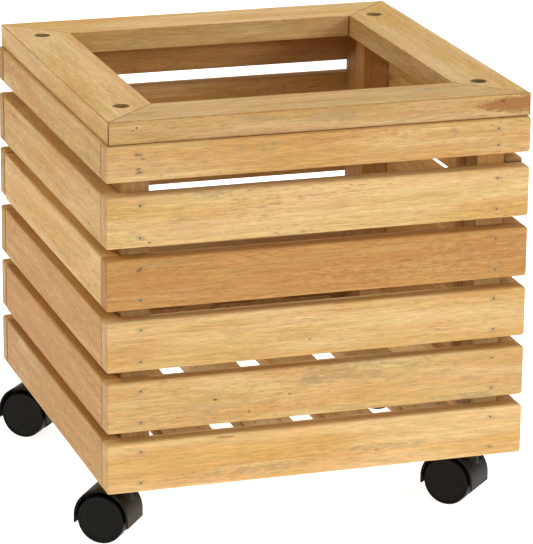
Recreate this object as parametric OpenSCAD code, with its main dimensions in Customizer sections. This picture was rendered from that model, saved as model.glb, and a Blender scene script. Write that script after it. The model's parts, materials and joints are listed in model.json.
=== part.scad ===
// Square slatted plant pot caddy on four hooded twin-wheel casters.
// Origin on the floor under the middle of the box: +X right, +Y to the back, +Z up.

/* [Box] */
// Outside width and depth of the slatted box
box_w = 400; // [380:5:420]
// Height of the slatted walls
wall_h = 324; // [320:1:330]
// Height of a full slat
slat_h = 47.5; // [46:0.5:48]
// Height of the narrow slat under the rim
top_slat_h = 33.5; // [30:0.5:36]
// Thickness of the slats
slat_t = 18; // [16:1:20]
// Clear gap between two full slats
slat_gap = 10; // [8:0.5:10]
// How far the back panel's third slat is nailed above its even place
back_slat_3_lift = 2; // [0:0.5:3]
// How far the back panel's fifth slat is nailed above its even place
back_slat_5_lift = 1; // [0:0.5:3]
// How far the right panel's second slat is nailed above its even place
right_slat_2_lift = 4; // [0:0.5:4]
// Small chamfer along the edges of every board
ease = 1.2; // [0.5:0.1:2]

/* [Rim] */
// Outside width and depth of the mitred rim
rim_w = 397; // [376:1:400]
// Thickness of the rim rails
rim_t = 21.5; // [18:0.5:24]
// Width of each rim rail
rail_w = 55.5; // [50:0.5:60]
// How far the rim sits towards the back right corner
rim_shift = 1.5; // [0:0.1:1.5]
// Diameter of the counterbores over the rim screws
counterbore_d = 15; // [12:0.5:16]
// Depth of the counterbores
counterbore_depth = 9; // [6:0.5:11]

/* [Frame] */
// Thickness of the upright battens across the width of the box
batten_w = 27; // [25:0.5:28]
// Depth of the front and back panels' battens
end_batten_d = 28; // [26:0.5:28]
// Depth of the side panels' battens
side_batten_d = 24.5; // [22:0.5:26]
// Seam between the two battens of a corner
batten_seam = 0.5; // [0.5:0.1:2]

/* [Floor] */
// Width of a floor board
board_w = 48; // [40:1:50]
// Thickness of a floor board
board_t = 14; // [12:0.5:16]
// Distance between the middles of two floor boards
board_pitch = 77.5; // [70:0.5:80]
// Height of the two cross bearers under the floor
bearer_h = 30; // [24:1:32]
// Depth of the cross bearers
bearer_d = 27; // [24:1:30]

/* [Casters] */
// Height from the floor to the underside of the box
caster_h = 65; // [63:0.5:68]
// Wheel diameter
wheel_d = 45.5; // [44:0.5:46]
// Width of one wheel
wheel_w = 12.8; // [11:0.1:13]
// Distance from the swivel axis to the axle
trail = 16; // [15:0.5:17]
// Width of the hood along the axle
hood_w = 39; // [38:0.5:42]
// Outside radius of the hood's round top
hood_r = 26.9; // [26.5:0.1:28]
// Wall of the hood over the wheels
hood_wall = 2; // [1.5:0.1:2.5]
// Swivel axis from the left and right faces of the box
caster_in_x = 30; // [29:0.5:32]
// Swivel axis from the front and back faces of the box
caster_in_y = 52.5; // [52.5:0.5:62]
// Turn of the front left caster
turn_front_left = 37; // [0:1:359]
// Turn of the front right caster
turn_front_right = 45; // [0:1:359]
// Turn of the back left caster
turn_back_left = 41; // [0:1:359]
// Turn of the back right caster
turn_back_right = 217; // [0:1:359]

/* [Hidden] */
SIDES = ["front", "back", "left", "right"];
CORNERS = ["front_left", "front_right", "back_left", "back_right"];
SLATS = 6;
BOARDS = 4;

wood = "#d9b273";
dark_wood = "#c79a5c";
zinc = "#a8a8a4";
black = "#1c1c1c";

$fn = 64;
eps = 0.05;
fit = 0.05;

half = box_w / 2;
inner = half - slat_t;
base_z = caster_h;
rim_z = base_z + wall_h;
slat_pitch = slat_h + slat_gap;
side_l = box_w - 2 * slat_t;

// Each side as [turn about +Z, slat length]: a side's own X runs along it, and -Y is outwards.
function side_turn(s) = s == "front" ? 0 : s == "right" ? 90 : s == "back" ? 180 : 270;
function is_end(s) = s == "front" || s == "back";
function slat_l(s) = is_end(s) ? box_w : side_l;
function slat_lift(s, i) = s == "back" && i == 3 ? back_slat_3_lift
    : s == "back" && i == 5 ? back_slat_5_lift
    : s == "right" && i == 2 ? right_slat_2_lift
    : 0;
function slat_z(s, i) = slat_lift(s, i) + (i == 1 ? wall_h - top_slat_h : (SLATS - i) * slat_pitch);
function slat_height(i) = i == 1 ? top_slat_h : slat_h;

// Battens: the end panels' pair fills the corners, the side panels' pair stands next to it.
end_batten_x = inner - batten_w / 2;
side_batten_y = inner - end_batten_d - batten_seam - side_batten_d / 2;
function nail_x(s) = is_end(s) ? end_batten_x : side_batten_y;
// The side panels' nails stop short of the rim screws and the caster stems.
function nail_l(s) = is_end(s) ? end_nail_l : side_nail_l;

nail_r = 1.1;
end_nail_l = 38;
side_nail_l = 25;
nail_sink = 0.8;
nail_edge = 9;

screw_r = 2.2;
screw_head_r = 4.6;
screw_head_h = 3;
rim_screw_l = 52;
rim_screw_in = 30;
rim_screw_out = 1.5;
rim_nail_l = 38;
rim_nail_in = 26;
rim_nail_up = 0.69;
floor_nail_l = 32;
bearer_screw_l = 38;
bearer_screw_x = 90;
rim_centre = rim_shift;

stem_r = 4;
collar_r = 8;
collar_h = 6;
stem_up = 25;
stem_down = 30;

axle_z = wheel_d / 2;
axle_r = 3;
web_w = 11;
wheel_gap = 0.5;
wheel_skin = 1.8;
wheel_inner_y = web_w / 2 + wheel_gap;
axle_half_l = wheel_inner_y + wheel_w - wheel_skin - 0.3;
hood_x = 0.5 - trail;
hood_rise = 2.5;
flank = 0.15;
skirt_z = axle_z - 5;
neck_r = 8;
neck_top = base_z - collar_h - 0.5;

function corner_x(c) = c == "front_left" || c == "back_left" ? -1 : 1;
function corner_y(c) = c == "front_left" || c == "front_right" ? -1 : 1;
function corner_turn(c) = c == "front_left" ? turn_front_left
    : c == "front_right" ? turn_front_right
    : c == "back_left" ? turn_back_left
    : turn_back_right;

// A straight board along X with its four long edges chamfered, centred on X and Y, standing on Z 0.
module board(l, d, h) {
    rotate([90, 0, 90])
        linear_extrude(height = l, center = true)
            polygon([
                [-d / 2 + ease, 0], [d / 2 - ease, 0], [d / 2, ease], [d / 2, h - ease],
                [d / 2 - ease, h], [-d / 2 + ease, h], [-d / 2, h - ease], [-d / 2, ease]
            ]);
}

// Places a child on a side: its own X along the wall, its own -Y facing outwards.
module on_side(s) {
    rotate([0, 0, side_turn(s)]) children();
}

// The nails of one slat, driven through it into the battens behind.
module slat_nail_row(s, i) {
    for (x = [-nail_x(s), nail_x(s)])
        for (z = [nail_edge, slat_height(i) - nail_edge])
            translate([x, nail_sink - half, base_z + slat_z(s, i) + z])
                rotate([-90, 0, 0])
                    cylinder(r = nail_r, h = nail_l(s));
}

module slat(s, i) {
    color(wood)
        on_side(s)
            translate([0, slat_t / 2 - half, base_z + slat_z(s, i)])
                board(slat_l(s), slat_t, slat_height(i));
}

// The two upright battens of one panel; the side panels' battens also hold screws and stems.
module battens(s) {
    depth = is_end(s) ? end_batten_d : batten_w;
    width = is_end(s) ? batten_w : side_batten_d;
    color(wood)
        difference() {
            on_side(s)
                for (x = [-nail_x(s), nail_x(s)])
                    translate([x, depth / 2 - inner, base_z + wall_h / 2])
                        cube([width, depth, wall_h], center = true);
            if (!is_end(s)) {
                rim_screw_holes();
                stem_holes();
            }
        }
}

// Plan of one mitred rail, along the front.
module mitred_plan() {
    polygon([
        [-rim_w / 2, -rim_w / 2], [rim_w / 2, -rim_w / 2],
        [rim_w / 2 - rail_w, rail_w - rim_w / 2], [rail_w - rim_w / 2, rail_w - rim_w / 2]
    ]);
}

module rim_rail(s) {
    color(wood)
        difference() {
            translate([rim_centre, rim_centre, 0])
                on_side(s)
                    intersection() {
                        translate([0, (rail_w - rim_w) / 2, rim_z])
                            board(rim_w, rail_w, rim_t);
                        translate([0, 0, rim_z])
                            linear_extrude(height = rim_t)
                                mitred_plan();
                    }
            if (!is_end(s)) rim_screw_holes();
        }
}

// Every rim screw and its hole stands over the middle of a side panel's batten.
module at_rim_screws() {
    for (x = [-1, 1])
        for (y = [-1, 1])
            translate([x * (half - rim_screw_in), y * (side_batten_y + rim_screw_out), 0])
                children();
}

module rim_screw_holes() {
    at_rim_screws() {
        translate([0, 0, rim_z + rim_t - counterbore_depth])
            cylinder(d = counterbore_d, h = counterbore_depth + 1);
        translate([0, 0, rim_z + rim_t - counterbore_depth - rim_screw_l - 1])
            cylinder(r = screw_r + fit, h = rim_screw_l + 2);
    }
}

module rim_screws() {
    color(zinc)
        at_rim_screws()
            translate([0, 0, rim_z + rim_t - counterbore_depth]) {
                translate([0, 0, -rim_screw_l]) cylinder(r = screw_r, h = rim_screw_l);
                difference() {
                    cylinder(r = screw_head_r, h = screw_head_h);
                    translate([0, 0, screw_head_h - 1]) {
                        translate([-3, -0.6, 0]) cube([6, 1.2, 2]);
                        translate([-0.6, -3, 0]) cube([1.2, 6, 2]);
                    }
                }
            }
}

// One nail across each mitre, driven from the front and the back.
module rim_nails() {
    color(zinc)
        translate([rim_centre, rim_centre, rim_z + rim_nail_up * rim_t])
            for (s = ["front", "back"])
                on_side(s)
                    for (x = [-1, 1])
                        translate([x * (rim_w / 2 - rim_nail_in), nail_sink - rim_w / 2, 0])
                            rotate([-90, 0, 0])
                                cylinder(r = nail_r, h = rim_nail_l);
}

module slat_nails() {
    color(zinc)
        for (s = SIDES)
            on_side(s)
                for (i = [1:SLATS])
                    slat_nail_row(s, i);
}

// Middle of each floor board across the box.
function board_x(i) = (i - (BOARDS + 1) / 2) * board_pitch;

module floor_board(i) {
    color(dark_wood)
        translate([board_x(i), 0, base_z + bearer_h])
            rotate([0, 0, 90])
                board(side_l - 1, board_w, board_t);
}

// Two nails at each end of each floor board, driven down into the bearers.
module floor_nails() {
    color(zinc)
        for (i = [1:BOARDS])
            for (x = [-board_w / 4, board_w / 4])
                for (y = [-1, 1])
                    translate([
                        board_x(i) + x,
                        y * (inner - bearer_d / 2),
                        base_z + bearer_h + board_t - nail_sink - floor_nail_l
                    ])
                        cylinder(r = nail_r, h = floor_nail_l);
}

// A cross bearer between the end panel's battens, on the lowest slat's inner face.
module bearer(s) {
    color(dark_wood)
        on_side(s)
            translate([0, bearer_d / 2 - inner, base_z + bearer_h / 2])
                cube([2 * (inner - batten_w) - 1, bearer_d, bearer_h], center = true);
}

// Screws through each bearer into the lowest slat, with their heads inside the box.
module bearer_screws() {
    color(zinc)
        for (s = ["front", "back"])
            on_side(s)
                for (x = [-bearer_screw_x, bearer_screw_x])
                    translate([x, bearer_d - inner, base_z + bearer_h / 2])
                        rotate([90, 0, 0]) {
                            cylinder(r = screw_r, h = bearer_screw_l);
                            translate([0, 0, -screw_head_h]) cylinder(r = screw_head_r, h = screw_head_h);
                        }
}

module at_corner(c) {
    translate([corner_x(c) * (half - caster_in_x), corner_y(c) * (half - caster_in_y), 0])
        rotate([0, 0, -corner_turn(c)])
            children();
}

module stem_holes() {
    for (c = CORNERS)
        at_corner(c)
            translate([0, 0, base_z - 1])
                cylinder(r = stem_r + fit, h = stem_up + 1.5);
}

// Fixed stems: a threaded end in the batten, a hexagonal collar under it, a plain pin below.
module caster_stems() {
    color(zinc)
        for (c = CORNERS)
            at_corner(c) {
                translate([0, 0, stem_down])
                    cylinder(r = stem_r, h = base_z + stem_up - stem_down);
                translate([0, 0, base_z - collar_h])
                    cylinder(r = collar_r, h = collar_h, $fn = 6);
            }
}

// Side view of a hood: a round top on upright flanks, open below the skirt.
module hood_outline(r) {
    translate([0, hood_rise]) circle(r = r, $fn = 96);
    translate([flank - r, skirt_z - axle_z - eps]) square([2 * (r - flank), hood_rise + axle_z - skirt_z]);
}

// A hood: a cover over both wheels with a web between them and a neck round the stem.
module hood(c) {
    pocket_w = (hood_w - web_w) / 2 + 1;
    color(black)
        at_corner(c)
            difference() {
                union() {
                    translate([hood_x, 0, axle_z])
                        rotate([90, 0, 0])
                            linear_extrude(height = hood_w, center = true)
                                hood_outline(hood_r);
                    translate([0, 0, stem_down])
                        cylinder(r = neck_r, h = neck_top - stem_down);
                }
                for (side = [-1, 1])
                    translate([hood_x, side * (web_w + pocket_w) / 2, axle_z])
                        rotate([90, 0, 0])
                            linear_extrude(height = pocket_w, center = true)
                                hood_outline(hood_r - hood_wall);
                translate([hood_x, 0, skirt_z - hood_r])
                    cube([3 * hood_r, 2 * hood_w, 2 * hood_r], center = true);
                translate([0, 0, stem_down - 2])
                    cylinder(r = stem_r + fit, h = neck_top);
                axle_rod(fit / 2, 1);
            }
}

module axle_rod(grow = 0, longer = 0) {
    translate([-trail, 0, axle_z])
        rotate([90, 0, 0])
            cylinder(r = axle_r + grow, h = 2 * (axle_half_l + longer), center = true);
}

module axle(c) {
    color(zinc) at_corner(c) axle_rod();
}

// A wheel with a blind bore, a bevelled tread and a shallow dished face; side -1 faces outwards.
module wheel(c, side) {
    r = wheel_d / 2;
    bore_l = wheel_w - wheel_skin;
    color(black)
        at_corner(c)
            translate([-trail, side * wheel_inner_y, axle_z])
                rotate([-90 * side, 0, 0])
                    rotate_extrude($fn = 96)
                        polygon([
                            [axle_r + fit, 0], [r - 1, 0], [r, 1], [r, wheel_w - 1],
                            [r - 0.3, wheel_w - 0.3], [r - 1, wheel_w], [r - 3, wheel_w],
                            [r - 3.6, wheel_w - 0.6], [0, wheel_w - 0.6], [0, bore_l],
                            [axle_r + fit, bore_l]
                        ]);
}

for (s = SIDES) {
    rim_rail(s);
    battens(s);
    for (i = [1:SLATS])
        slat(s, i);
}
for (s = ["front", "back"])
    bearer(s);
for (i = [1:BOARDS])
    floor_board(i);
rim_screws();
rim_nails();
slat_nails();
floor_nails();
bearer_screws();
caster_stems();
for (c = CORNERS) {
    hood(c);
    axle(c);
    wheel(c, 1);
    wheel(c, -1);
}
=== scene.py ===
"""Looks of the slatted plant pot caddy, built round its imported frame. Metres, +Z up, +Y to the back."""
import json
import math
import random

import bmesh
import bpy
from mathutils import Matrix, Vector, noise


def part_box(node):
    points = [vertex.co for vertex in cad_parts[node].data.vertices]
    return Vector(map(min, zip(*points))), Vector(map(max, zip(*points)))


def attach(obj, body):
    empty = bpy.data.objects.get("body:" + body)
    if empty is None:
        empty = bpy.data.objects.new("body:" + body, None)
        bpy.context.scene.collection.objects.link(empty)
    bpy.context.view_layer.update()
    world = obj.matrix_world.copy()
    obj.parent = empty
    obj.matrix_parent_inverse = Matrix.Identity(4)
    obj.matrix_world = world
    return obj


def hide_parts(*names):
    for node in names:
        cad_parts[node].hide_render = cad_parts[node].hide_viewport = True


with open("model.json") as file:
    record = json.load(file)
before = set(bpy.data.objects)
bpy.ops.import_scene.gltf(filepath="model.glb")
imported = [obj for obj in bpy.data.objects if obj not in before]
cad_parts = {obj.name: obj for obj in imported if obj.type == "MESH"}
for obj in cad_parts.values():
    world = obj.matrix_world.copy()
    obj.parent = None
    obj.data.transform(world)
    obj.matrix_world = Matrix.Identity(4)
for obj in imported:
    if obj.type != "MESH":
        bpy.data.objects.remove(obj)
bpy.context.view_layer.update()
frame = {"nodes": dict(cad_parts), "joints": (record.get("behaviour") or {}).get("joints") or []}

MM = 0.001
X, Y, Z = Vector((1, 0, 0)), Vector((0, 1, 0)), Vector((0, 0, 1))
SIDES = ("front", "back", "left", "right")
CORNERS = ("front_left", "front_right", "back_left", "back_right")
SLATS = 6
FLOOR_BOARDS = 4
# Direction of the grain along each side, seen from outside with the wall's outer face towards the viewer.
GRAIN = {"front": X, "right": Y, "back": -X, "left": -Y}
INWARD = {"front": Y, "right": -X, "back": -Y, "left": X}


# ---------------------------------------------------------------- node graphs

class Graph:
    """Adds nodes to a tree. Each method returns the output socket of the node that it makes."""

    def __init__(self, tree):
        self.tree = tree

    def node(self, kind, **settings):
        made = self.tree.nodes.new(kind)
        for name, value in settings.items():
            setattr(made, name, value)
        return made

    def feed(self, value, socket):
        if isinstance(value, bpy.types.NodeSocket):
            self.tree.links.new(value, socket)
        else:
            socket.default_value = value

    def math(self, operation, a, b=0.0, clamp=False):
        made = self.node("ShaderNodeMath", operation=operation, use_clamp=clamp)
        self.feed(a, made.inputs[0])
        self.feed(b, made.inputs[1])
        return made.outputs[0]

    def vector(self, operation, a, b=None):
        made = self.node("ShaderNodeVectorMath", operation=operation)
        self.feed(a, made.inputs[0])
        if b is not None:
            self.feed(b, made.inputs[1])
        return made.outputs["Value" if operation == "LENGTH" else "Vector"]

    def mix(self, factor, a, b, blend="MIX"):
        made = self.node("ShaderNodeMix", data_type="RGBA", blend_type=blend)
        self.feed(factor, made.inputs["Factor"])
        self.feed(a, made.inputs[6])
        self.feed(b, made.inputs[7])
        return made.outputs[2]

    def noise(self, vector, detail=3.0, roughness=0.55, scale=1.0, colour=False):
        made = self.node("ShaderNodeTexNoise")
        self.feed(vector, made.inputs["Vector"])
        made.inputs["Scale"].default_value = scale
        made.inputs["Detail"].default_value = detail
        made.inputs["Roughness"].default_value = roughness
        return made.outputs["Color" if colour else "Fac"]

    def step(self, value, low, high, to_low=0.0, to_high=1.0):
        """A smooth step: to_low below low, to_high above high."""
        made = self.node("ShaderNodeMapRange", interpolation_type="SMOOTHSTEP")
        self.feed(value, made.inputs["Value"])
        self.feed(low, made.inputs["From Min"])
        self.feed(high, made.inputs["From Max"])
        self.feed(to_low, made.inputs["To Min"])
        self.feed(to_high, made.inputs["To Max"])
        return made.outputs["Result"]

    def darkened(self, colour, amount):
        """The colour times one number."""
        return self.mix(1.0, colour, self.join(amount, amount, amount), "MULTIPLY")

    def split(self, vector):
        made = self.node("ShaderNodeSeparateXYZ")
        self.feed(vector, made.inputs[0])
        return made.outputs

    def join(self, x, y, z):
        made = self.node("ShaderNodeCombineXYZ")
        for value, socket in zip((x, y, z), made.inputs):
            self.feed(value, socket)
        return made.outputs[0]


# ---------------------------------------------------------------- wood

PALE = (0.70, 0.485, 0.230, 1)
HONEY = (0.60, 0.360, 0.118, 1)
HEART = (0.46, 0.200, 0.062, 1)
GREY = (0.30, 0.235, 0.130, 1)
PORE = (0.27, 0.135, 0.040, 1)
SPECK = (0.06, 0.042, 0.018, 1)
RUST = (0.25, 0.075, 0.022, 1)
CORE = (0.31, 0.12, 0.035, 1)
EDGE = (0.38, 0.165, 0.035, 1)
# Near black, for the painted shade in the crevices where the boards' ends meet.
JOINT_SHADE = (0.022, 0.012, 0.005, 1)
# Slow shifts of the hue, towards green and towards pink.
OLIVE = (0.98, 1.01, 0.94, 1)
BLUSH = (1.02, 0.98, 1.0, 1)
# Distances in mm: one beyond every board, and how far apart in the grain the boards may be cut.
FAR = 1000
GRAIN_SPREAD = 4000
GRAIN_RELIEF = 0.25 * MM

# Features of the grain: how many fit in a mm along and across it, and their noise's detail and roughness.
FEATURES = {
    "broad": (0.0045, 0.04, 3.0, 0.55),
    "bands": (0.009, 0.24, 3.0, 0.6),
    "streak": (0.022, 0.42, 3.0, 0.7),
    "fibre": (0.07, 1.0, 3.0, 0.7),
    "dash": (0.11, 0.9, 2.0, 0.6),
    "mottle": (0.12, 0.35, 3.0, 0.65),
    "cloud": (0.011, 0.06, 2.0, 0.5),
    "patch": (0.012, 0.03, 2.0, 0.5),
    "hue": (0.007, 0.045, 3.0, 0.6),
}
# The last two don't follow the wandering grain.
STRAIGHT = ("patch", "hue")
# How slowly the grain wanders, per mm, and how far.
WANDER_SHAPE = (0.004, 0.012, 0.012)
WANDER_MM = 5
RINGS_PER_MM = 0.17
RING_TAPER = 0.022
# Pin knots per mm along and across the grain, and the flattening of the stains round nails.
PIN_SHAPE = (0.014, 0.024)
HALO_SHAPE = (0.55, 0, 1)

GRAIN_INPUTS = (
    ("Offset", "NodeSocketVector", (0, 0, 0)),
    ("Heart", "NodeSocketFloat", 0.2),
    ("Grey", "NodeSocketFloat", 0.2),
    ("Pores", "NodeSocketFloat", 0.4),
    ("Value", "NodeSocketFloat", 1.0),
    ("Pith", "NodeSocketVector", (0, 80, 0)),
    ("Half", "NodeSocketVector", (FAR, FAR, FAR)),
    ("Edge", "NodeSocketFloat", 0.4),
    ("Mitre", "NodeSocketFloat", 0.0),
    # Seam: the depth in a board from which its ends take the painted joint shade.
    ("Seam", "NodeSocketFloat", FAR),
    ("Nail", "NodeSocketVector", (FAR, 0, FAR)),
)
GRAIN_OUTPUTS = (
    ("Color", "NodeSocketColor"),
    ("Roughness", "NodeSocketFloat"),
    ("Height", "NodeSocketFloat"),
    ("Here", "NodeSocketVector"),
    ("Ragged", "NodeSocketFloat"),
)


def wandering(g, place):
    """How far the grain drifts from side to side."""
    drift = g.noise(g.vector("MULTIPLY", place, WANDER_SHAPE), 2.0, 0.5, colour=True)
    return g.vector("MULTIPLY", g.vector("SUBTRACT", drift, (0.5, 0.5, 0.5)), (0, WANDER_MM, WANDER_MM))


def growth_rings(g, here, pith, wander):
    """Rings round a pith that lies outside the board. They taper along it, and each ends abruptly."""
    around = g.vector("ADD", g.vector("SUBTRACT", here, pith), g.vector("MULTIPLY", wander, (0, 2, 2)))
    _, y, z = g.split(around)
    radius = g.vector("LENGTH", g.join(0.0, y, z))
    radius = g.math("ADD", radius, g.math("MULTIPLY", g.split(here)[0], RING_TAPER))
    uneven = g.noise(g.join(g.math("MULTIPLY", radius, 0.11), 0.0, 0.0), 2.0)
    phase = g.math("ADD", g.math("MULTIPLY", radius, RINGS_PER_MM), g.math("MULTIPLY", uneven, 2.4))
    phase = g.math("FRACT", phase)
    return g.math("MULTIPLY", g.step(phase, 0.15, 0.85), g.step(phase, 0.9, 1.0, 1.0, 0.0))


def grain_noises(g, place, wander):
    warped = g.vector("ADD", place, wander)
    noises = {}
    for name, (along, across, detail, roughness) in FEATURES.items():
        source = place if name in STRAIGHT else warped
        noises[name] = g.noise(g.vector("MULTIPLY", source, (along, across, across)), detail, roughness)
    return noises


def clear_wood(g, heartwood, noises, ring):
    """Pale to honey-coloured wood, with bands of heartwood, rings and fibres."""
    warmth = g.math("ADD", noises["broad"], g.math("MULTIPLY", heartwood, 0.25))
    colour = g.mix(g.step(warmth, 0.39, 0.71), PALE, HONEY)
    colour = g.mix(1.0, colour, g.mix(g.step(noises["hue"], 0.36, 0.64), OLIVE, BLUSH), "MULTIPLY")
    banded = g.math("ADD", g.step(noises["bands"], 0.30, 0.75, -0.25, 0.6), heartwood, clamp=True)
    colour = g.mix(g.math("MULTIPLY", banded, g.step(heartwood, 0.0, 1.0, 0.3, 0.8)), colour, HEART)
    colour = g.mix(g.math("MULTIPLY", ring, 0.16), colour, HEART)
    shade = g.step(noises["streak"], 0.32, 0.68, 0.92, 1.06)
    return g.darkened(colour, g.math("MULTIPLY", shade, g.step(noises["fibre"], 0.32, 0.68, 0.86, 1.10)))


def pore_lines(g, amount, noises):
    """Short dark dashes along the grain, more of them in some patches."""
    dashes = g.math("MULTIPLY", amount, g.step(noises["dash"], 0.55, 0.66))
    return g.math("MULTIPLY", dashes, g.step(noises["patch"], 0.38, 0.60, 0.35, 1.0))


def mineral_stain(g, amount, noises):
    """Grey stain in clouds, broken up along the grain."""
    low = g.math("SUBTRACT", 0.76, g.math("MULTIPLY", amount, 0.30))
    clouds = g.step(noises["cloud"], low, g.math("ADD", low, 0.14))
    return g.math("MULTIPLY", clouds, g.step(noises["mottle"], 0.40, 0.62, 0.10, 0.60))


def pin_knots(g, place, ragged):
    """Knots that run through the board from face to face."""
    along, _, across = g.split(place)
    along, across = g.math("MULTIPLY", along, PIN_SHAPE[0]), g.math("MULTIPLY", across, PIN_SHAPE[1])
    pins = g.node("ShaderNodeTexVoronoi", voronoi_dimensions="2D")
    g.feed(g.join(along, across, 0.0), pins.inputs["Vector"])
    pins.inputs["Scale"].default_value = 1.0
    chosen = g.step(g.split(pins.outputs["Color"])[0], 0.70, 1.0, 0.0, 0.8)
    off = g.math("ADD", pins.outputs["Distance"], g.math("MULTIPLY", ragged, 0.05))
    return g.math("MULTIPLY", g.step(off, 0.010, 0.036, 0.9, 0.0), chosen)


def nail_stain(g, here, nail, ragged):
    """Stains round the nails, on the outward half of the board."""
    off = g.vector("SUBTRACT", g.vector("ABSOLUTE", here), nail)
    off = g.vector("LENGTH", g.vector("MULTIPLY", off, HALO_SHAPE))
    off = g.math("ADD", off, g.math("MULTIPLY", ragged, 6.0))
    return g.math("MULTIPLY", g.step(off, 0.6, 3.4, 0.5, 0.0), g.step(g.split(here)[1], 0.0, 1.0, 1.0, 0.0))


def to_surfaces(g, here, half, mitre):
    """The distances in mm from the board's ends, its two faces and its two sides."""
    x, y, z = g.split(here)
    half_x, half_y, half_z = g.split(half)
    skew = g.math("MULTIPLY", mitre, g.math("ADD", y, half_y))
    from_end = g.math("SUBTRACT", g.math("SUBTRACT", half_x, g.math("ABSOLUTE", x)), skew)
    from_face = g.math("SUBTRACT", half_y, g.math("ABSOLUTE", y))
    from_side = g.math("SUBTRACT", half_z, g.math("ABSOLUTE", z))
    return from_end, from_face, from_side


def burnish(g, surfaces, ragged):
    """Where the board's edges are rubbed darker."""
    from_end, from_face, from_side = surfaces
    long_edges = g.math("MAXIMUM", from_face, from_side)
    end_edges = g.math("MAXIMUM", from_end, g.math("MINIMUM", from_face, from_side))
    near = g.math("ADD", g.math("MINIMUM", long_edges, end_edges), g.math("MULTIPLY", ragged, 2.2))
    return g.step(near, 0.1, 1.5, 1.0, 0.0)


def joint_shade(g, here, half, starts, from_end):
    """Painted shade on the board's ends where they sit in a joint's crevice, from a given depth on, and less of
    it where an end may stick out on top.
    """
    _, y, z = g.split(here)
    behind = g.step(g.math("SUBTRACT", y, starts), 0.0, 1.0)
    below_top = g.step(g.math("SUBTRACT", g.split(half)[2], z), 3.0, 4.5, 0.3, 1.0)
    end_shade = g.math("MULTIPLY", g.step(from_end, 0.35, 1.3, 1.0, 0.0), behind)
    return g.math("MULTIPLY", g.math("MULTIPLY", end_shade, below_top), 0.85)


def with_sawn_ends(g, colour, normal, place):
    """Sawn ends are darker and show the pores as dots."""
    end = g.step(g.math("ABSOLUTE", g.split(normal)[0]), 0.55, 0.95)
    dots = g.noise(g.vector("MULTIPLY", place, (0.0, 1.7, 1.7)), 3.0, 0.7)
    return g.mix(end, colour, g.darkened(colour, g.step(dots, 0.35, 0.65, 0.66, 0.96)))


def relief(g, noises, pores, ring):
    height = g.math("MULTIPLY", g.math("ADD", noises["fibre"], noises["streak"]), 0.5)
    height = g.math("SUBTRACT", height, g.math("MULTIPLY", pores, 0.7))
    return g.math("SUBTRACT", height, g.math("MULTIPLY", ring, 0.15))


def make_grain_group():
    """The wood's solid texture in a board's own millimetres, with the grain along X."""
    group = bpy.data.node_groups.new("wood_grain", "ShaderNodeTree")
    for name, kind, default in GRAIN_INPUTS:
        socket = group.interface.new_socket(name, in_out="INPUT", socket_type=kind)
        socket.default_value = default
    for name, kind in GRAIN_OUTPUTS:
        group.interface.new_socket(name, in_out="OUTPUT", socket_type=kind)
    g = Graph(group)
    given = g.node("NodeGroupInput").outputs
    texture = g.node("ShaderNodeTexCoord").outputs
    here = g.vector("MULTIPLY", texture["Object"], (1000, 1000, 1000))
    place = g.vector("ADD", here, given["Offset"])
    wander = wandering(g, place)
    ring = growth_rings(g, here, given["Pith"], wander)
    noises = grain_noises(g, place, wander)
    ragged = g.math("SUBTRACT", noises["mottle"], 0.5)
    pores = pore_lines(g, given["Pores"], noises)
    surfaces = to_surfaces(g, here, given["Half"], given["Mitre"])

    colour = clear_wood(g, given["Heart"], noises, ring)
    colour = g.mix(pores, colour, PORE)
    colour = g.mix(mineral_stain(g, given["Grey"], noises), colour, GREY)
    colour = g.mix(pin_knots(g, place, ragged), colour, SPECK)
    colour = g.mix(nail_stain(g, here, given["Nail"], ragged), colour, GREY)
    colour = g.mix(g.math("MULTIPLY", burnish(g, surfaces, ragged), given["Edge"]), colour, EDGE)
    colour = with_sawn_ends(g, colour, texture["Normal"], place)
    colour = g.darkened(colour, given["Value"])
    # Painted shade: the board's ends go near black where they sit in a joint.
    colour = g.mix(joint_shade(g, here, given["Half"], given["Seam"], surfaces[0]), colour, JOINT_SHADE)

    rough = g.math("ADD", g.step(noises["fibre"], 0.3, 0.7, 0.66, 0.52), g.math("MULTIPLY", pores, 0.2))
    result = g.node("NodeGroupOutput").inputs
    g.feed(colour, result["Color"])
    g.feed(rough, result["Roughness"])
    g.feed(relief(g, noises, pores, ring), result["Height"])
    g.feed(here, result["Here"])
    g.feed(ragged, result["Ragged"])
    return group


GRAIN_GROUP = make_grain_group()

# Ranges of the heartwood, grey stain, pore lines and brightness of most boards.
USUAL_LOOKS = ((0.05, 0.45), (0.1, 0.5), (0.2, 0.5), (0.94, 1.02))
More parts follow.
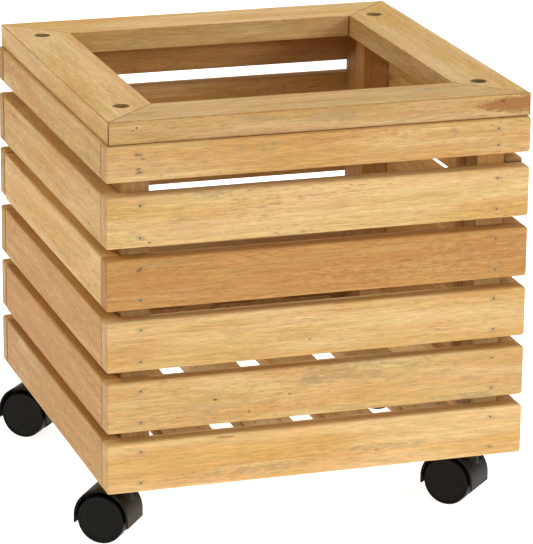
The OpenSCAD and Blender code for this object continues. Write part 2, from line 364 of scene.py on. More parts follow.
# The same four values of the boards that stand out. The back slats and the battens are set darker and redder as
# painted shade of the box's inside; the left slats' extra heartwood is partly their own redder wood and partly
# painted shade of that darker side, and the lowest left slat is darker still as painted shade near the floor.
LOOKS_WITH_SHADE = {
    "rim_front": (0.24, 0.55, 0.35, 0.87),
    "rim_left": (0.10, 0.35, 0.20, 0.96),
    "rim_right": (0.12, 0.30, 0.30, 0.94),
    "rim_back": (0.22, 0.30, 0.30, 0.99),
    "front_slat_1": (0.32, 0.45, 0.40, 0.98),
    "front_slat_2": (0.05, 0.20, 0.48, 1.01),
    "front_slat_3": (0.78, 0.10, 0.60, 0.96),
    "front_slat_4": (0.05, 0.10, 0.30, 0.99),
    "front_slat_5": (0.12, 0.70, 0.40, 0.96),
    "front_slat_6": (0.10, 0.60, 0.20, 1.05),
    "back_slat_1": (0.48, 0.20, 0.50, 0.92),
    "back_slat_2": (0.38, 0.20, 0.50, 0.97),
    "back_battens_1": (0.60, 0.20, 0.40, 0.90),
    "back_battens_2": (0.60, 0.20, 0.40, 0.90),
    "right_battens_1": (0.60, 0.20, 0.40, 0.92),
    "right_battens_2": (0.60, 0.20, 0.40, 0.92),
    "left_slat_1": (0.30, 0.50, 0.30, 0.91),
    "left_slat_2": (0.45, 0.20, 0.25, 0.98),
    "left_slat_3": (0.15, 0.35, 0.20, 1.02),
    "left_slat_4": (0.66, 0.30, 0.25, 0.95),
    "left_slat_5": (0.80, 0.25, 0.25, 0.94),
    "left_slat_6": (0.55, 0.40, 0.25, 0.84),
}

# Kinds of mark on the outward faces: colour, strength, raggedness and where the soft outline begins.
KNOT = (SPECK, 0.6, 1.5, 0.3)
BLOT = (GREY, 0.42, 6.0, 0.3)
STREAK = (RUST, 0.75, 1.5, 0.3)
WEDGE = (CORE, 0.80, 1.6, 0.85)
FLAME = (CORE, 0.30, 7.0, 0.3)
# Each mark's place from the middle of its board and its half sizes, along and across the grain, in mm.
MARKS = {
    "rim_front": (
        (BLOT, 5, 3, 32, 5), (BLOT, -55, 4, 20, 3), (WEDGE, 199, 1, 48, 7), (KNOT, 171, 5, 2.5, 1.2),
        (KNOT, -176, 2, 1.5, 1.2)),
    "front_slat_1": (
        (KNOT, -172, 8, 2.2, 1.2), (KNOT, -166, 4, 3, 1.3), (KNOT, -170, -5, 3, 1.5), (KNOT, -171, -9, 2, 1),
        (BLOT, -77, 6, 5, 4), (BLOT, -52, 6, 8, 4), (BLOT, -110, -4, 5, 2.5), (BLOT, -142, -8, 4, 2.5),
        (BLOT, 78, 7, 4, 3), (BLOT, 126, 7, 4, 4)),
    "front_slat_2": ((BLOT, -105, 21, 22, 3), (BLOT, -130, 0, 8, 3)),
    "front_slat_3": (
        (BLOT, -152, 17, 26, 2), (KNOT, -170, 13, 3, 1.5), (FLAME, 155, 4, 50, 12), (FLAME, 40, -8, 60, 6)),
    "front_slat_5": ((BLOT, 28, 11, 42, 4), (BLOT, -12, 10, 10, 3), (KNOT, -67, -14, 2, 1.5)),
    "front_slat_6": ((STREAK, -90, 21, 11, 1.2), (BLOT, -55, -12, 55, 3.5), (BLOT, 62, -3, 50, 3)),
}


def marked(g, colour, grain, marks):
    """Draws a board's own marks on its outward face, with outlines made ragged by the grain's mottling."""
    _, depth, _ = g.split(grain.outputs["Here"])
    for (stain, strength, rag, soft), along, up, half_length, half_height in marks:
        off = g.vector("SUBTRACT", grain.outputs["Here"], (along, 0, up))
        off = g.vector("MULTIPLY", off, (1 / half_length, 0, 1 / half_height))
        ragged = g.math("MULTIPLY", grain.outputs["Ragged"], rag)
        reach = g.math("ADD", g.vector("LENGTH", off), ragged)
        cover = g.math("MULTIPLY", g.step(reach, soft, 1.2, strength, 0.0), g.step(depth, 0.0, 1.0, 1.0, 0.0))
        colour = g.mix(cover, colour, stain)
    return colour


# How strongly the edges are burnished.
RIM_EDGE, BOARD_EDGE = 0.75, 0.22
# From which depth in the board its ends take the painted shade of the joint's crevice: all of it, its back
# corner or nowhere.
JOINTED = {"butt": lambda half: -FAR, "lap": lambda half: half - 1.8, "free": lambda half: FAR}


def wood(name, size, joint, mitre, nail):
    """One board's own wood, cut from its own stretch of the grain, with what its size and joints do to it."""
    draw = random.Random(name)
    usual = [draw.uniform(low, high) for low, high in USUAL_LOOKS]
    # The table's darker values for the boards inside and on the left carry painted shade.
    heart, grey, pores, value = LOOKS_WITH_SHADE.get(name, usual)
    material = bpy.data.materials.new("wood_" + name)
    material.use_nodes = True
    g = Graph(material.node_tree)
    shader = material.node_tree.nodes["Principled BSDF"]
    grain = g.node("ShaderNodeGroup", node_tree=GRAIN_GROUP)
    given = {
        "Offset": [draw.uniform(-GRAIN_SPREAD, GRAIN_SPREAD) for _ in range(3)],
        "Pith": (0, draw.choice((-1, 1)) * draw.uniform(35, 120), draw.uniform(-60, 60)),
        "Heart": heart, "Grey": grey, "Pores": pores, "Value": value,
        "Half": [side / 2 / MM for side in size],
        "Edge": RIM_EDGE if name.startswith("rim_") else BOARD_EDGE,
        "Mitre": 1.0 if mitre else 0.0,
        "Seam": JOINTED[joint](size[1] / 2 / MM),
        "Nail": (nail[0] / MM, 0, nail[1] / MM),
    }
    for socket, setting in given.items():
        grain.inputs[socket].default_value = setting
    g.feed(marked(g, grain.outputs["Color"], grain, MARKS.get(name, ())), shader.inputs["Base Color"])
    g.feed(grain.outputs["Roughness"], shader.inputs["Roughness"])
    shader.inputs["Specular IOR Level"].default_value = 0.16
    bump = g.node("ShaderNodeBump")
    bump.inputs["Strength"].default_value = 0.35
    bump.inputs["Distance"].default_value = GRAIN_RELIEF
    g.feed(grain.outputs["Height"], bump.inputs["Height"])
    g.feed(bump.outputs["Normal"], shader.inputs["Normal"])
    return material


def plain_material(name, colours, roughness, scale, depth, metallic=0.0, specular=0.5, tint=(1, 1, 1, 1)):
    """A moulded or plated surface that varies a little; scale is how many features fit in a mm."""
    material = bpy.data.materials.new(name)
    material.use_nodes = True
    g = Graph(material.node_tree)
    shader = material.node_tree.nodes["Principled BSDF"]
    place = g.vector("MULTIPLY", g.node("ShaderNodeTexCoord").outputs["Object"], (1000, 1000, 1000))
    coarse = g.noise(place, 3.0, scale=scale * 0.12)
    fine = g.noise(place, 2.0, scale=scale)
    g.feed(g.mix(g.step(coarse, 0.3, 0.7), *colours), shader.inputs["Base Color"])
    gloss = g.math("ADD", g.math("MULTIPLY", coarse, 0.6), g.math("MULTIPLY", fine, 0.4))
    g.feed(g.step(gloss, 0.3, 0.7, *roughness), shader.inputs["Roughness"])
    shader.inputs["Metallic"].default_value = metallic
    shader.inputs["Specular IOR Level"].default_value = specular
    shader.inputs["Specular Tint"].default_value = tint
    bump = g.node("ShaderNodeBump")
    bump.inputs["Strength"].default_value = 0.5
    bump.inputs["Distance"].default_value = depth
    g.feed(fine, bump.inputs["Height"])
    g.feed(bump.outputs["Normal"], shader.inputs["Normal"])
    return material


WARM = (1, 0.92, 0.80, 1)
HOOD_PLASTIC = plain_material(
    "hood_plastic", ((0.005, 0.0045, 0.004, 1), (0.020, 0.018, 0.014, 1)), (0.30, 0.48), 1.6, 0.02 * MM,
    specular=0.10, tint=WARM)
WHEEL_PLASTIC = plain_material(
    "wheel_plastic", ((0.006, 0.006, 0.0055, 1), (0.010, 0.010, 0.009, 1)), (0.42, 0.56), 1.9, 0.02 * MM,
    specular=0.08, tint=WARM)
ZINC = plain_material(
    "zinc_steel", ((0.42, 0.42, 0.41, 1), (0.60, 0.60, 0.57, 1)), (0.28, 0.5), 2.2, 0.01 * MM, metallic=1.0)
NAIL = plain_material(
    "nail_steel", ((0.055, 0.04, 0.02, 1), (0.12, 0.08, 0.04, 1)), (0.7, 0.85), 0.5, 0.02 * MM)
# Dark brown: the nail pits' own stained wood, and painted shade on the counterbores' walls and floors.
PIT_STAIN_AND_BORE_SHADE = plain_material(
    "pit_stain_and_bore_shade", ((0.16, 0.105, 0.042, 1), (0.34, 0.21, 0.085, 1)), (0.7, 0.9), 0.5, 0.05 * MM)
FLOOR_WHITE = plain_material(
    "studio_floor", ((0.90, 0.90, 0.90, 1), (0.91, 0.91, 0.91, 1)), (0.8, 0.9), 0.05, 0.0)


# ---------------------------------------------------------------- mesh helpers

LONG_EDGE = 5 * MM
SAME = 1e-7
# A board's mesh: the length of its sections, how far its faces lie inside their true place on average, and
# how quickly that changes along the board, in waves per metre.
SECTION = 14 * MM
WAVINESS = 0.12 * MM
WAVES_PER_M = 14


def solids(node):
    """The box of each separate solid in a CAD node, as (low corner, high corner)."""
    mesh = frame["nodes"][node].data
    keys = [tuple(round(c, 5) for c in v.co) for v in mesh.vertices]
    parent = {k: k for k in keys}

    def find(k):
        while parent[k] != k:
            parent[k] = parent[parent[k]]
            k = parent[k]
        return k

    for edge in mesh.edges:
        parent[find(keys[edge.vertices[0]])] = find(keys[edge.vertices[1]])
    groups = {}
    for k in parent:
        groups.setdefault(find(k), []).append(Vector(k))
    boxes = []
    for points in groups.values():
        boxes.append((Vector(map(min, *points)), Vector(map(max, *points))))
    return sorted(boxes, key=lambda b: tuple(b[0]))


def frame_of(grain, inward, centre):
    """A board's own frame: X along the grain, -Y facing outwards."""
    up = grain.cross(inward)
    return Matrix.Translation(centre) @ Matrix((grain, inward, up)).transposed().to_4x4()


def made_object(name, mesh, matrix, materials):
    piece = bpy.data.objects.new(name, mesh)
    bpy.context.scene.collection.objects.link(piece)
    piece.matrix_world = matrix
    for material in materials:
        mesh.materials.append(material)
    return piece


def evaluated(piece):
    """Bakes the piece's modifiers into its mesh."""
    graph = bpy.context.evaluated_depsgraph_get()
    mesh = bpy.data.meshes.new_from_object(piece.evaluated_get(graph), depsgraph=graph)
    piece.modifiers.clear()
    piece.data = mesh
    return piece


def smooth(piece, sharp=50):
    piece.data.polygons.foreach_set("use_smooth", [True] * len(piece.data.polygons))
    piece.data.set_sharp_from_angle(angle=math.radians(sharp))
    weighted = piece.modifiers.new("weighted", "WEIGHTED_NORMAL")
    weighted.keep_sharp = True
    return piece


def mesh_from(bm, name):
    bmesh.ops.recalc_face_normals(bm, faces=bm.faces)
    mesh = bpy.data.meshes.new(name)
    bm.to_mesh(mesh)
    bm.free()
    return mesh


def combine(piece, tool, operation):
    """Joins the tool to the piece or takes it away, and removes the tool."""
    bpy.context.view_layer.update()
    boolean = piece.modifiers.new("combine", "BOOLEAN")
    boolean.operation = operation
    boolean.object = tool
    boolean.solver = "EXACT"
    evaluated(piece)
    bpy.data.objects.remove(tool)
    return piece


def revolve(bm, outline, at, segments=96):
    """Draws a solid of revolution about at's Z axis from (radius, z) points; a radius of 0 closes an end."""
    rings = []
    for r, z in outline:
        count = 1 if r == 0 else segments
        angles = [2 * math.pi * k / segments for k in range(count)]
        rings.append([bm.verts.new(at @ Vector((r * math.cos(a), r * math.sin(a), z))) for a in angles])
    for a, b in zip(rings, rings[1:]):
        for k in range(segments):
            n = k + 1
            corners = (a[k % len(a)], a[n % len(a)], b[n % len(b)], b[k % len(b)])
            bm.faces.new(list(dict.fromkeys(corners)))


def arc(centre, radius, start, end, steps):
    """Points along an arc, in degrees."""
    angles = [math.radians(start + (end - start) * k / steps) for k in range(steps + 1)]
    return [(centre[0] + radius * math.cos(a), centre[1] + radius * math.sin(a)) for a in angles]


def bored(piece, outline, spots, segments):
    """Cuts one bore of that outline into the piece at each spot, a matrix in the piece's own frame."""
    if spots:
        bm = bmesh.new()
        for spot in spots:
            revolve(bm, outline, spot, segments)
        tool = made_object("tool", mesh_from(bm, "tool"), piece.matrix_world.copy(), ())
        combine(piece, tool, "DIFFERENCE")
    return piece


def bevel(bm, edges, radius, segments=4):
    bmesh.ops.bevel(bm, geom=edges, offset=radius, segments=segments, profile=0.5, affect="EDGES")


def edges_along(bm, axis):
    """The edges that run along an axis for more than the size of a rounded corner."""
    return [e for e in bm.edges if abs(e.verts[0].co[axis] - e.verts[1].co[axis]) > LONG_EDGE]


def edges_round(bm, axis, half):
    """The edges of the two faces that lie half a size from the middle along an axis."""
    found = []
    for e in bm.edges:
        a, b = e.verts[0].co[axis], e.verts[1].co[axis]
        if abs(abs(a) - half) < SAME and abs(a - b) < SAME:
            found.append(e)
    return found


def board_mesh(name, size, radii, seed, mitre=False):
    """A board centred on its own frame, with rounded edges and a slight waviness along the grain."""
    length, depth, height = size
    edge, end_edge, corner = radii
    bm = bmesh.new()
    bmesh.ops.create_cube(bm, size=1, matrix=Matrix.Diagonal((length, depth, height, 1)))
    if corner:
        bevel(bm, edges_along(bm, 1), corner, 5)
        bevel(bm, edges_round(bm, 1, depth / 2), edge)
    else:
        bevel(bm, edges_along(bm, 0), edge)
        bevel(bm, edges_round(bm, 0, length / 2), end_edge, 3)
    sections = max(4, round(length / SECTION))
    for i in range(1, sections):
        at = -length / 2 + length * i / sections
        everything = bm.verts[:] + bm.edges[:] + bm.faces[:]
        bmesh.ops.bisect_plane(bm, geom=everything, plane_co=(at, 0, 0), plane_no=X)
    for v in bm.verts:
        y_side, z_side = v.co.y / depth * 2, v.co.z / height * 2
        for axis, side, own in ((1, y_side, z_side), (2, z_side, y_side)):
            face_seed = seed + axis * 7 + math.copysign(3, side)
            wave = noise.noise(Vector((v.co.x * WAVES_PER_M, face_seed, own * 0.7)))
            if abs(side) > 0.5:
                v.co[axis] -= side * WAVINESS * (1 + wave)
        if mitre:
            v.co.x *= 1 - 2 * (v.co.y + depth / 2) / length
    return mesh_from(bm, name)


# ---------------------------------------------------------------- boards

NAIL_SPOTS = {node: solids(node) for node in ("slat_nails", "rim_nails", "floor_nails")}
# The nail pits and the counterbores. Their cutters stand a little out of the wood, so that no faces coincide.
PIT_R = 0.85 * MM
PIT_DEPTH = 1.1 * MM
PIT_SEGMENTS = 14
PIT_TOP = 0.5 * MM
PIT = ((0, -PIT_DEPTH), (PIT_R * 0.8, -PIT_DEPTH), (PIT_R * 1.1, PIT_TOP), (0, PIT_TOP))
BORE_R = 7.5 * MM
BORE_DEPTH = 9 * MM
# How far down a counterbore its painted shade begins.
BORE_LIP = 0.6 * MM
BORE_SEGMENTS = 48
BORE_TOP = 0.4 * MM
BORE = ((0, -BORE_DEPTH), (BORE_R, -BORE_DEPTH), (BORE_R, -0.5 * MM), (BORE_R + 0.25 * MM, -0.15 * MM),
        (BORE_R + 2 * BORE_TOP, BORE_TOP), (0, BORE_TOP))
# How near a board's outward face a nail has to end for a pit to show there.
NEAR_FACE = 1.6 * MM
# Radii of a board's long edges, of its ends and of its outward face's corners. Where that face has round
# corners, the long edges' radius runs all the way round it.
PLANED = (1.2 * MM, 0.6 * MM, 0)
RAIL = (1.0 * MM, 0.4 * MM, 0)
SLAT = (2.1 * MM, 0, 2.8 * MM)
FLOOR_BOARD = (1.6 * MM, 0, 2.0 * MM)


def nail_pits(matrix, size, nails):
    """Where nails meet the outward face of a board: matrices in its own frame, with Z outwards."""
    spots = []
    inverse = matrix.inverted()
    for low, high in NAIL_SPOTS[nails]:
        corners = [inverse @ low, inverse @ high]
        outer = min(c.y for c in corners)
        middle = (corners[0] + corners[1]) / 2
        inside = abs(middle.x) < size[0] / 2 and abs(middle.z) < size[2] / 2
        if inside and abs(outer + size[1] / 2) < NEAR_FACE:
            face = Vector((middle.x, -size[1] / 2, middle.z))
            spots.append(Matrix.Translation(face) @ Matrix.Rotation(math.pi / 2, 4, "X"))
    return spots


def in_pit(polygon, pits, size):
    c = polygon.center
    close = any(math.hypot(c.x - p.translation.x, c.z - p.translation.z) < PIT_R for p in pits)
    return close and c.y < PIT_DEPTH * 1.2 - size[1] / 2 and polygon.area < 4 * PIT_R ** 2


def in_bore(polygon, bores, size):
    c = polygon.center
    close = any(math.hypot(c.x - b.translation.x, c.y - b.translation.y) < BORE_R for b in bores)
    return close and c.z < size[2] / 2 - BORE_LIP


def board(name, box, grain, inward, radii=PLANED, joint="free", nails=None, screws=(), mitre=False):
    """A detailed board in a box, with its nail pits and its counterbores cut in."""
    low, high = box
    matrix = frame_of(grain, inward, (low + high) / 2)
    size = [abs((high - low).dot(axis)) for axis in (grain, inward, grain.cross(inward))]
    seed = random.Random("board_" + name).uniform(0, 500)
    mesh = board_mesh(name, size, radii, seed, mitre)
    pits = nail_pits(matrix, size, nails) if nails else []
    stained = [(abs(p.translation.x), abs(p.translation.z)) for p in pits if nails != "rim_nails"]
    nail = stained[0] if stained else (FAR * MM, FAR * MM)
    piece = made_object("board_" + name, mesh, matrix, (wood(name, size, joint, mitre, nail), PIT_STAIN_AND_BORE_SHADE))
    bored(piece, PIT, pits, PIT_SEGMENTS)
    inverse = matrix.inverted()
    centres = [inverse @ screw for screw in screws]
    bores = [Matrix.Translation((at.x, at.y, size[2] / 2)) for at in centres]
    bored(piece, BORE, bores, BORE_SEGMENTS)
    # Pit faces take the stained wood; counterbore faces below the lip take the same dark as painted shade.
    for polygon in piece.data.polygons:
        if in_pit(polygon, pits, size) or in_bore(polygon, bores, size):
            polygon.material_index = 1
    return smooth(piece)


def finish_piece(piece, body, slot, *nodes):
    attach(piece, body)
    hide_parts(*nodes)


def make_slats():
    for side in SIDES:
        for i in range(1, SLATS + 1):
            node = f"{side}_slat_{i}"
            joint = "lap" if side in ("front", "back") else "butt"
            piece = board(node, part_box(node), GRAIN[side], INWARD[side], SLAT, joint, "slat_nails")
            finish_piece(piece, "box", "slat_wood", node)


def make_rim():
    screws = [(low + high) / 2 for low, high in solids("rim_screws")]
    for side in SIDES:
        node = "rim_" + side
        on_rail = [c for c in screws if side in ("left", "right") and (c.x > 0) == (side == "right")]
        nails = "rim_nails" if side in ("front", "back") else None
        piece = board(node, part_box(node), GRAIN[side], INWARD[side], RAIL, "butt", nails, on_rail, mitre=True)
        finish_piece(piece, "box", "rim_wood", node)


def make_battens():
    for side in SIDES:
        node = side + "_battens"
        for k, box in enumerate(solids(node)):
            piece = board(f"{node}_{k + 1}", box, Z, INWARD[side])
            finish_piece(piece, "box", "batten_wood", node)


def make_floor():
    for i in range(1, FLOOR_BOARDS + 1):
        node = f"floor_board_{i}"
        piece = board(node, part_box(node), Y, -Z, FLOOR_BOARD, "free", "floor_nails")
        finish_piece(piece, "box", "floor_wood", node)
    for node in ("bearer_front", "bearer_back"):
        piece = board(node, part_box(node), X, Y)
        finish_piece(piece, "box", "floor_wood", node)


# ---------------------------------------------------------------- casters

JOINTS = {j["name"]: j for j in frame["joints"]}
# The hood's round top is centred a little above the axle, and its web stands between the wheels.
HOOD_R = 26.9 * MM
HOOD_WALL = 2.0 * MM
HOOD_RISE = 2.5 * MM
WEB_W = 11 * MM
NECK_R = 8 * MM
NECK_FOOT = 33 * MM
STEM_R = 4 * MM
STEM_BORE_R = 4.05 * MM
BORE_FOOT = 28 * MM
COLLAR_R = 8 * MM
COLLAR_H = 6 * MM
COLLAR_EDGE = 0.5 * MM
NECK_SEGMENTS, STEM_SEGMENTS, HEXAGON = 48, 40, 6
# Angles in degrees above which an edge of the hood or the stem stays sharp.
HOOD_SHARP, STEM_SHARP = 38, 25
# The wheels' hollows: the axle's bore, the hub round it, and the ring-shaped recess between hub and tread.
AXLE_BORE_R = 3.1 * MM
BORE_FLOOR = 2.6 * MM
HUB_R = 5.2 * MM
RECESS_DEPTH = 3 * MM
TREAD = 2.6 * MM
TREAD_EDGE = 1.3 * MM
# The outer face's dish: its lip as a part of the wheel's radius, its depth, and how far its middle rises.
DISH_LIP = 0.88
DISH_DEPTH = 0.7 * MM
DISH_CROWN = 0.45 * MM


def caster_frame(corner):
    """A caster's own frame: origin on the floor under the stem, Y along the axle, X from axle to stem."""
    swivel = Vector(JOINTS["swivel_" + corner]["pos_m"])
    along = Vector(JOINTS["spin_inner_wheel_" + corner]["axis"]).normalized()
    forward = along.cross(Z)
    return Matrix.Translation((swivel.x, swivel.y, 0)) @ Matrix((forward, along, Z)).transposed().to_4x4()


def local_box(node, matrix):
    inverse = matrix.inverted()
    points = [inverse @ v.co for v in frame["nodes"][node].data.vertices]
    return Vector(map(min, *points)), Vector(map(max, *points))


AXLE_UP = Matrix.Rotation(-math.pi / 2, 4, "X")


def wheel_outline(r, width):
    """(radius, distance from the web) from the axle's bore, over the tread, to the dished outer face."""
    lip, edge = DISH_LIP * r, 0.4 * MM
    floor = width - BORE_FLOOR
    outline = [(0, floor), (AXLE_BORE_R, floor), (AXLE_BORE_R, edge), (AXLE_BORE_R + edge, 0)]
    outline += [(HUB_R, 0), (HUB_R + edge, 0.5 * MM), (HUB_R + 1.5 * edge, RECESS_DEPTH)]
    outline += [(r - TREAD - 2 * edge, RECESS_DEPTH), (r - TREAD - edge, 0.5 * MM), (r - TREAD, 0)]
    outline += arc((r - TREAD_EDGE, TREAD_EDGE), TREAD_EDGE, -90, 0, 5)
    outline += arc((r - TREAD_EDGE, width - TREAD_EDGE), TREAD_EDGE, 0, 90, 6)
    outline += [(lip + 0.9 * MM, width), (lip + 0.35 * MM, width - 0.12 * MM), (lip, width - 0.45 * MM)]
    dish = width - DISH_DEPTH
    outline += [(lip - 0.25 * MM, dish), (lip - 0.9 * MM, dish - 0.1 * MM)]
    return outline + [(lip * k / 8, dish + DISH_CROWN * (1 - (k / 8) ** 2)) for k in range(7, -1, -1)]


def make_wheel(corner, which):
    node = f"{which}_wheel_{corner}"
    matrix = caster_frame(corner)
    low, high = local_box(node, matrix)
    side = 1 if high.y > -low.y else -1
    middle = (low + high) / 2
    web_face = min(abs(low.y), abs(high.y))
    outline = wheel_outline((high.z - low.z) / 2, high.y - low.y)
    bm = bmesh.new()
    revolve(bm, [(r, side * (web_face + out)) for r, out in outline], AXLE_UP)
    place = matrix @ Matrix.Translation((middle.x, 0, middle.z))
    piece = made_object("moulded_" + node, mesh_from(bm, node), place, (WHEEL_PLASTIC,))
    finish_piece(smooth(piece), node, "wheel_plastic", node)


def hood_path(radius, centre, skirt, steps=44):
    """Side view of the hood: up one flank, over the round top and down the other, from skirt to skirt."""
    x, z = centre
    up = [(x + radius, skirt + (z - skirt) * k / 4) for k in range(4)]
    down = [(x - radius, z - (z - skirt) * k / 4) for k in range(1, 5)]
    return up + arc(centre, radius, 0, 180, steps) + down


def hood_profile(half, wall, web):
    """(inset, y) from one face of the web, round both rims, to the other face of the web."""
    lip, root = 0.9 * MM, 1.0 * MM
    side = [(wall + root, web), (wall + 0.3 * root, web + 0.3 * root), (wall, web + root)]
    side += [(wall, half - lip), (wall - 0.25 * lip, half - 0.25 * lip), (wall - 0.45 * lip, half)]
    side += [(lip * 0.9, half), (lip * 0.3, half - 0.3 * lip), (0.0, half - lip)]
    return side + [(inset, -y) for inset, y in reversed(side)]


def hood_shell(half, centre, skirt):
    bm = bmesh.new()
    columns = []
    for inset, y in hood_profile(half, HOOD_WALL, WEB_W / 2):
        path = hood_path(HOOD_R - inset, centre, skirt)
        columns.append([bm.verts.new((x, y, z)) for x, z in path])
    for a, b in zip(columns, columns[1:]):
        for k in range(len(a) - 1):
            bm.faces.new((a[k], a[k + 1], b[k + 1], b[k]))
    bm.faces.new(columns[0])
    bm.faces.new(list(reversed(columns[-1])))
    bm.faces.new([c[0] for c in columns] + [c[-1] for c in reversed(columns)])
    return mesh_from(bm, "hood_shell")


def hood_pockets(half, centre, skirt):
    """The room for both wheels, reaching a little into the web and the wall so that faces don't coincide."""
    bm = bmesh.new()
    path = hood_path(HOOD_R - HOOD_WALL * 0.7, centre, skirt)
    for side in (-1, 1):
        faces = []
        for y in (side * WEB_W * 0.47, side * 1.2 * half):
            faces.append([bm.verts.new((x, y, z)) for x, z in path])
        bm.faces.new(faces[0])
        bm.faces.new(list(reversed(faces[1])))
        for k in range(len(path)):
            n = (k + 1) % len(path)
            bm.faces.new((faces[0][k], faces[0][n], faces[1][n], faces[1][k]))
    return mesh_from(bm, "hood_pockets")


def make_hood(corner):
    node = "hood_" + corner
    matrix = caster_frame(corner)
    low, high = local_box(node, matrix)
    axle_z = JOINTS["spin_inner_wheel_" + corner]["pos_m"][2]
    shape = (high.y, (low.x + HOOD_R, axle_z + HOOD_RISE), low.z)
    top = high.z
    neck = [(0, NECK_FOOT), (NECK_R, NECK_FOOT), (NECK_R, top - 0.7 * MM)]
    neck += [(NECK_R - 0.2 * MM, top - 0.2 * MM), (NECK_R - 0.7 * MM, top), (0, top)]
    bm = bmesh.new()
    revolve(bm, neck, Matrix.Identity(4), NECK_SEGMENTS)
    post = made_object("post", mesh_from(bm, "post"), matrix, ())
    pockets = made_object("pockets", hood_pockets(*shape), matrix, ())
    combine(post, pockets, "DIFFERENCE")
    piece = made_object("moulded_" + node, hood_shell(*shape), matrix, (HOOD_PLASTIC,))
    combine(piece, post, "UNION")
    stem_bore = [(0, BORE_FOOT), (STEM_BORE_R, BORE_FOOT), (STEM_BORE_R, top + MM), (0, top + MM)]
    bored(piece, stem_bore, [Matrix.Identity(4)], STEM_SEGMENTS)
    finish_piece(smooth(piece, HOOD_SHARP), "caster_" + corner, "hood_plastic", node)


def collar_mesh(top):
    """A hexagonal collar with turned corners."""
    across = (0, COLLAR_R - COLLAR_EDGE, COLLAR_R, COLLAR_R, COLLAR_R - COLLAR_EDGE, 0)
    foot = top - COLLAR_H
    heights = (foot, foot, foot + COLLAR_EDGE, top - COLLAR_EDGE, top, top)
    bm = bmesh.new()
    revolve(bm, list(zip(across, heights)), Matrix.Identity(4), HEXAGON)
    return mesh_from(bm, "collar")


def stem_mesh(foot, top):
    """A pin that starts with a chamfer and ends, in the batten, with a longer one."""
    chamfer = 0.6 * MM
    pin = [(0, foot), (STEM_R - chamfer, foot), (STEM_R, foot + chamfer)]
    pin += [(STEM_R, top - MM), (STEM_R - MM, top), (0, top)]
    bm = bmesh.new()
    revolve(bm, pin, Matrix.Identity(4), STEM_SEGMENTS)
    return mesh_from(bm, "stem")


def make_stems():
    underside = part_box("front_slat_6")[0].z
    pins = solids("caster_stems")
    for corner in CORNERS:
        matrix = caster_frame(corner)
        axis = matrix.translation.xy
        low, high = next((a, b) for a, b in pins if ((a + b).xy / 2 - axis).length < MM)
        piece = made_object("stem_" + corner, stem_mesh(low.z, high.z), matrix, (ZINC,))
        collar = made_object("collar", collar_mesh(underside), matrix, ())
        combine(piece, collar, "UNION")
        finish_piece(smooth(piece, STEM_SHARP), "box", "zinc_steel", "caster_stems")


def make_casters():
    for corner in CORNERS:
        make_hood(corner)
        for which in ("inner", "outer"):
            make_wheel(corner, which)


# ---------------------------------------------------------------- carried-over CAD nodes

def dress_cad_nodes():
    """Gives the screws, axles and nails, which are shown as the CAD has them, their steel."""
    steel = ["rim_screws", "bearer_screws"] + ["axle_" + c for c in CORNERS]
    for names, material in ((steel, ZINC), (("rim_nails", "slat_nails", "floor_nails"), NAIL)):
        for name in names:
            for slot in frame["nodes"][name].material_slots:
                slot.link = "OBJECT"
                slot.material = material


# ---------------------------------------------------------------- stage, lights and camera

FLOOR_SIZE = 20
# The studio is bright in a thin band at the horizon, dim above that, and brighter again overhead.
HORIZON, HAZE, ZENITH = 0.50, 0.07, 0.50
# The floor's own light, inside and outside a long ellipse, and where and how wide that ellipse is.
FLOOR_GLOW = (0.85, 0.22)
GLOW_CENTRE = (0.35, 0.85, 0)
GLOW_REACH = (1.0, 0.5, 0)


def make_floor_glow():
    """The sweep is lit from below in a zone that reaches from just before the box to well behind it."""
    g = Graph(FLOOR_WHITE.node_tree)
    shader = FLOOR_WHITE.node_tree.nodes["Principled BSDF"]
    shader.inputs["Emission Color"].default_value = (1, 1, 1, 1)
    place = g.node("ShaderNodeTexCoord").outputs["Object"]
    off = g.vector("MULTIPLY", g.vector("SUBTRACT", place, GLOW_CENTRE), GLOW_REACH)
    glow = g.step(g.vector("LENGTH", off), 0.85, 1.4, *FLOOR_GLOW)
    g.feed(glow, shader.inputs["Emission Strength"])


def make_world():
    world = bpy.data.worlds.new("studio")
    bpy.context.scene.world = world
    world.use_nodes = True
    g = Graph(world.node_tree)
    height = g.split(g.node("ShaderNodeTexCoord").outputs["Generated"])[2]
    background = world.node_tree.nodes["Background"]
    background.inputs["Color"].default_value = (0.98, 1.0, 1.01, 1)
    sky = g.step(height, 0.1, 0.6, HAZE, ZENITH)
    g.feed(g.math("ADD", sky, g.step(height, 0.04, 0.14, HORIZON, 0.0)), background.inputs["Strength"])


def make_stage():
    bm = bmesh.new()
    bmesh.ops.create_grid(bm, x_segments=2, y_segments=2, size=FLOOR_SIZE)
    floor = made_object("studio_floor", mesh_from(bm, "studio_floor"), Matrix.Identity(4), (FLOOR_WHITE,))
    make_floor_glow()
    make_world()


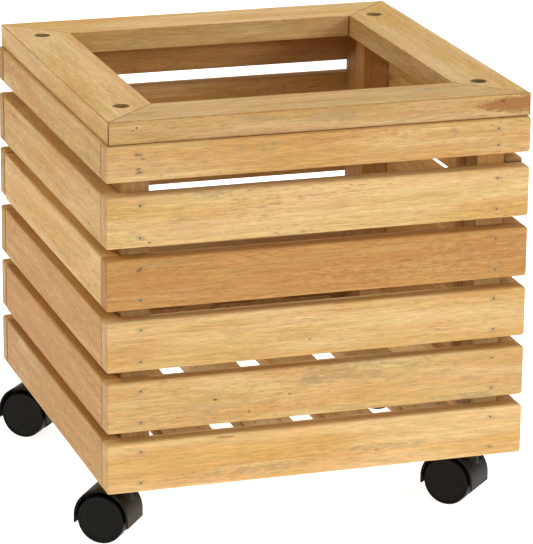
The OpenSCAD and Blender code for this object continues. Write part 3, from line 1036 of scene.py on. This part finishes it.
# Softboxes: name, place, what it faces, width, height, power in watts, colour.
SOFTBOXES = (
    ("key", (1.6, -1.4, 2.5), (0, 0, 0.25), 1.0, 1.0, 9, (1, 0.99, 0.97)),
    ("side", (1.6, -2.5, 1.2), (0, 0, 0.3), 0.6, 0.6, 28, (1, 0.99, 0.97)),
    ("top", (0.2, 0.8, 2.6), (0, 0, 0.3), 1.0, 1.0, 27, (0.96, 1, 1.03)),
    ("fill", (-2.1, -0.5, 1.8), (0, 0, 0.2), 0.8, 0.8, 20, (1, 0.86, 0.64)),
)


def make_lights():
    for name, place, target, width, height, watts, colour in SOFTBOXES:
        data = bpy.data.lights.new(name, "AREA")
        data.shape = "RECTANGLE"
        data.size, data.size_y = width, height
        data.energy = watts
        data.color = colour
        light = bpy.data.objects.new(name, data)
        bpy.context.scene.collection.objects.link(light)
        light.location = place
        light.rotation_euler = (Vector(target) - Vector(place)).to_track_quat("-Z", "Y").to_euler()


# The camera's turn to the right, its tilt down and its roll, in radians.
YAW, PITCH, ROLL = 0.3141, 0.2995, -0.0096
CAMERA_AT = (-0.9287, -2.9009, 1.1429)
SENSOR_MM = 36
# The frame, the focal length and the point that the lens looks straight at, in pixels.
FRAME_W, FRAME_H = 533, 544
FOCAL_PX = 3321.2
PRINCIPAL = (266.6, 268.7)


def make_camera():
    """A long lens from the front left, looking slightly down."""
    forward = Vector((math.sin(YAW) * math.cos(PITCH), math.cos(YAW) * math.cos(PITCH), -math.sin(PITCH)))
    level = Vector((math.cos(YAW), -math.sin(YAW), 0))
    down = forward.cross(level)
    right = math.cos(ROLL) * level + math.sin(ROLL) * down
    up = math.sin(ROLL) * level - math.cos(ROLL) * down
    data = bpy.data.cameras.new("camera")
    data.sensor_width = SENSOR_MM
    data.lens = FOCAL_PX * SENSOR_MM / FRAME_H
    data.shift_x = (FRAME_W / 2 - PRINCIPAL[0]) / FRAME_H
    data.shift_y = (PRINCIPAL[1] - FRAME_H / 2) / FRAME_H
    camera = bpy.data.objects.new("camera", data)
    bpy.context.scene.collection.objects.link(camera)
    camera.matrix_world = Matrix.Translation(CAMERA_AT) @ Matrix((right, up, -forward)).transposed().to_4x4()
    bpy.context.scene.camera = camera


make_stage()
make_lights()
make_camera()
make_slats()
make_rim()
make_battens()
make_floor()
make_casters()
make_stems()
dress_cad_nodes()
bpy.context.scene.view_settings.view_transform = "Standard"
